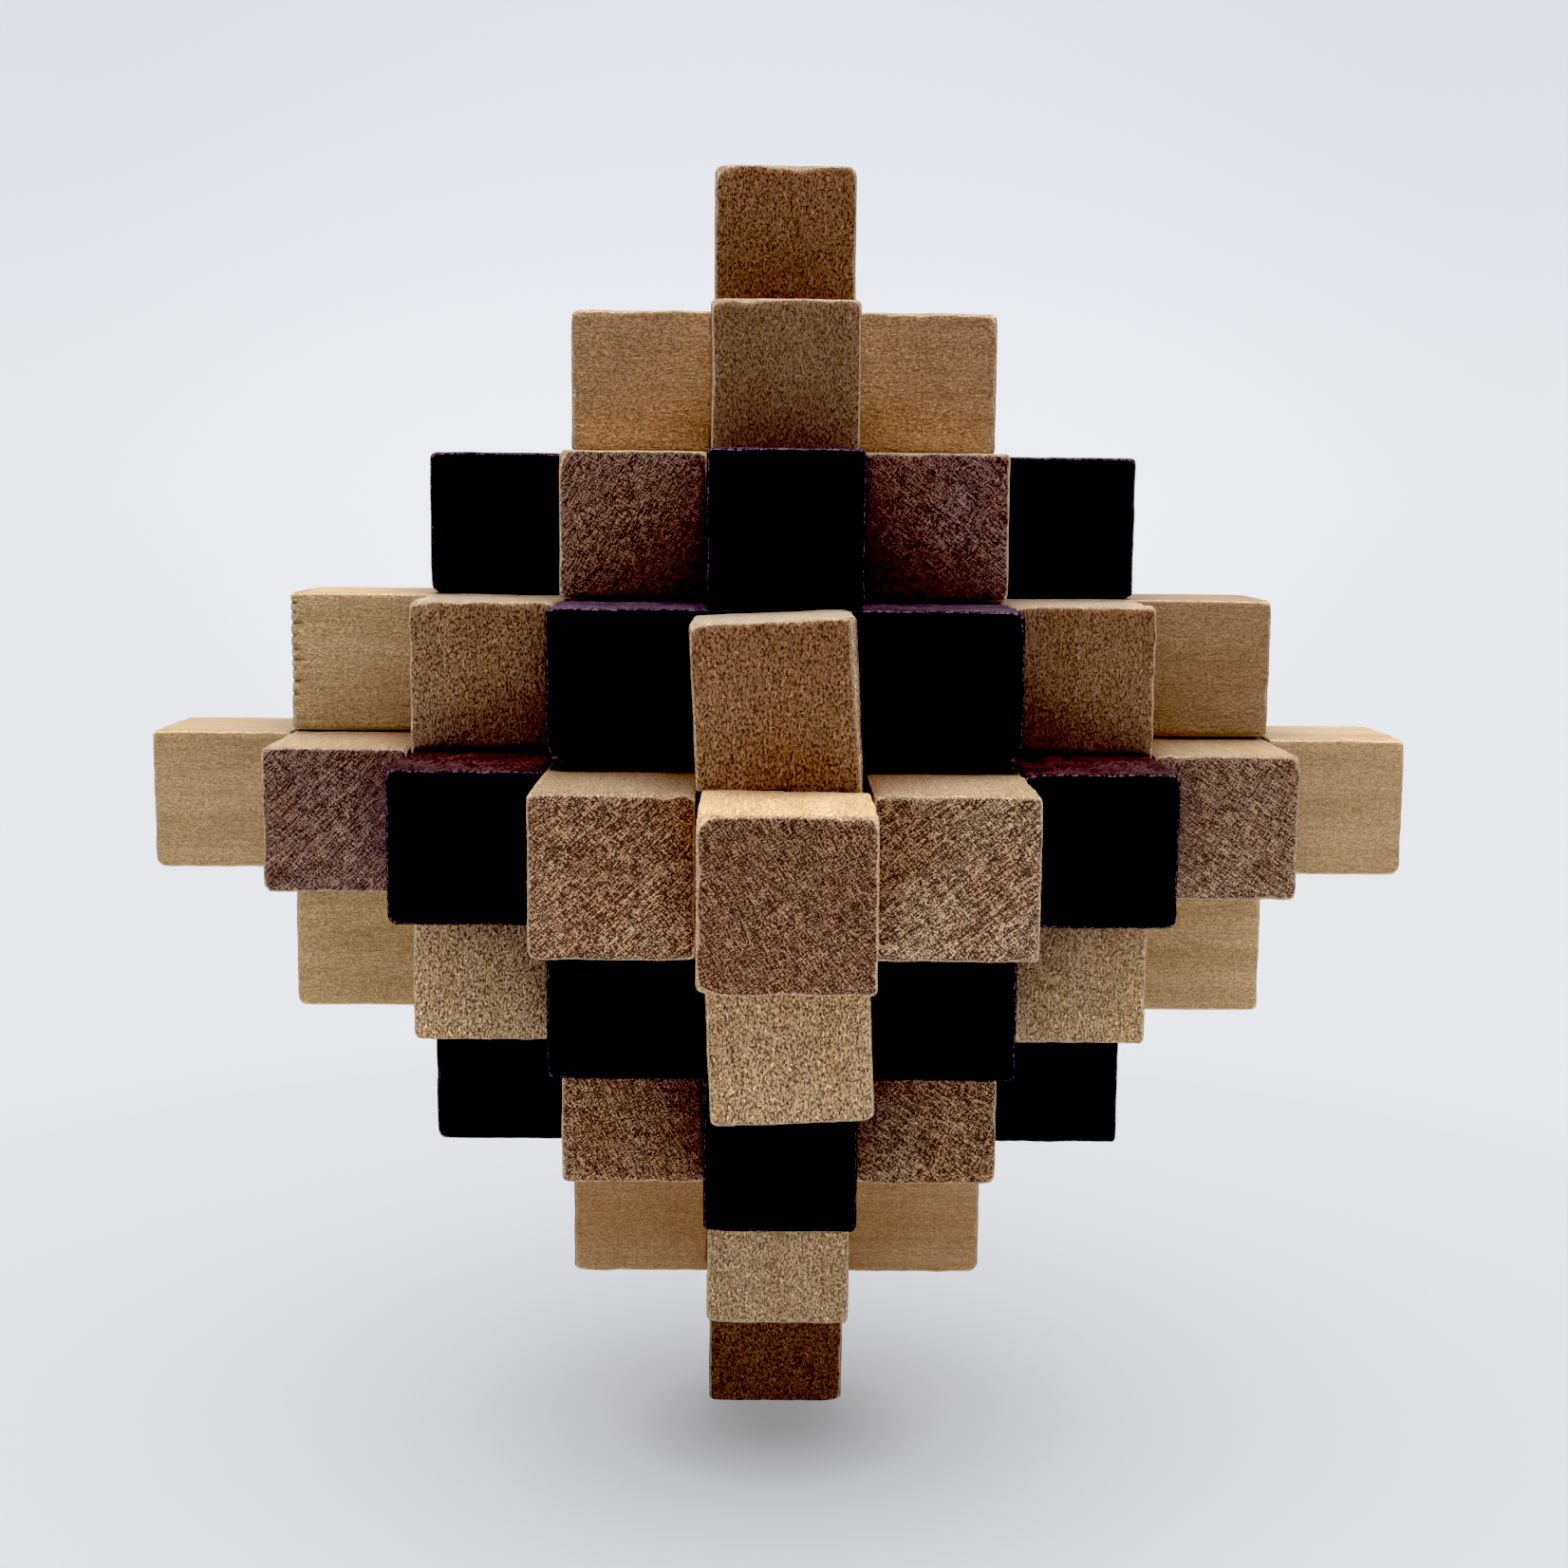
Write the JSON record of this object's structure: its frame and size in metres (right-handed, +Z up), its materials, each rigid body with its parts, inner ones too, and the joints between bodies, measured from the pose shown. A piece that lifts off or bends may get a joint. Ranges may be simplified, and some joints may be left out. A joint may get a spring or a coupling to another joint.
{
  "type": "interlocking burr puzzle",
  "caption": "Interlocking burr puzzle of square wooden sticks, natural and black-dyed, notched together into a stepped octahedron that a sliding key bar locks.",
  "frame": {"origin": "middle of the underside of the lowest tip, on the surface the puzzle stands on", "axes": "+Z up along the upright centre bar, +X to the right along the across centre bar, +Y to the back along the depth centre bar"},
  "size_m": [0.0898, 0.0898, 0.0899],
  "materials": {
    "natural_wood": "bare sanded hardwood, fine dark flecks along the grain",
    "black_dyed_wood": "black dye with a faint purple sheen, worn pale along the edges"
  },
  "bodies": {
    "burr": {"across_bar_centre": "natural_wood", "across_bar_down1": "natural_wood", "across_bar_down2": "black_dyed_wood", "across_bar_down3": "natural_wood", "across_bar_up1": "natural_wood", "across_bar_up2": "black_dyed_wood", "across_bar_up3": "natural_wood", "across_pin_back_down": "black_dyed_wood", "across_pin_back_up": "black_dyed_wood", "across_pin_front_down": "black_dyed_wood", "across_pin_front_up": "black_dyed_wood", "depth_bar_centre": "natural_wood", "depth_bar_left1": "natural_wood", "depth_bar_left2": "black_dyed_wood", "depth_bar_left3": "natural_wood", "depth_bar_right2": "black_dyed_wood", "depth_bar_right3": "natural_wood", "depth_pin_down_left": "natural_wood", "depth_pin_down_right": "natural_wood", "depth_pin_up_left": "natural_wood", "depth_pin_up_right": "natural_wood", "upright_bar_back1": "natural_wood", "upright_bar_back2": "black_dyed_wood", "upright_bar_back3": "natural_wood", "upright_bar_centre": "natural_wood", "upright_bar_front1": "natural_wood", "upright_bar_front2": "black_dyed_wood", "upright_pin_left_back": "natural_wood", "upright_pin_left_front": "natural_wood", "upright_pin_right_back": "natural_wood", "upright_pin_right_front": "natural_wood"},
    "key": {"key_bar": "natural_wood"},
    "front_bar": {"upright_bar_front3": "natural_wood"}
  },
  "joints": [
    {"name": "key_slide", "type": "slide", "parent": "burr", "child": "key", "axis": [0, 1, 0], "range_m": [-0.01, 0.01]},
    {"name": "front_bar_rock", "type": "hinge", "parent": "burr", "child": "front_bar", "pos_m": [0, -0.03, 0.04492], "axis": [0, 1, 0], "range_deg": [0, 5.4]}
  ]
}
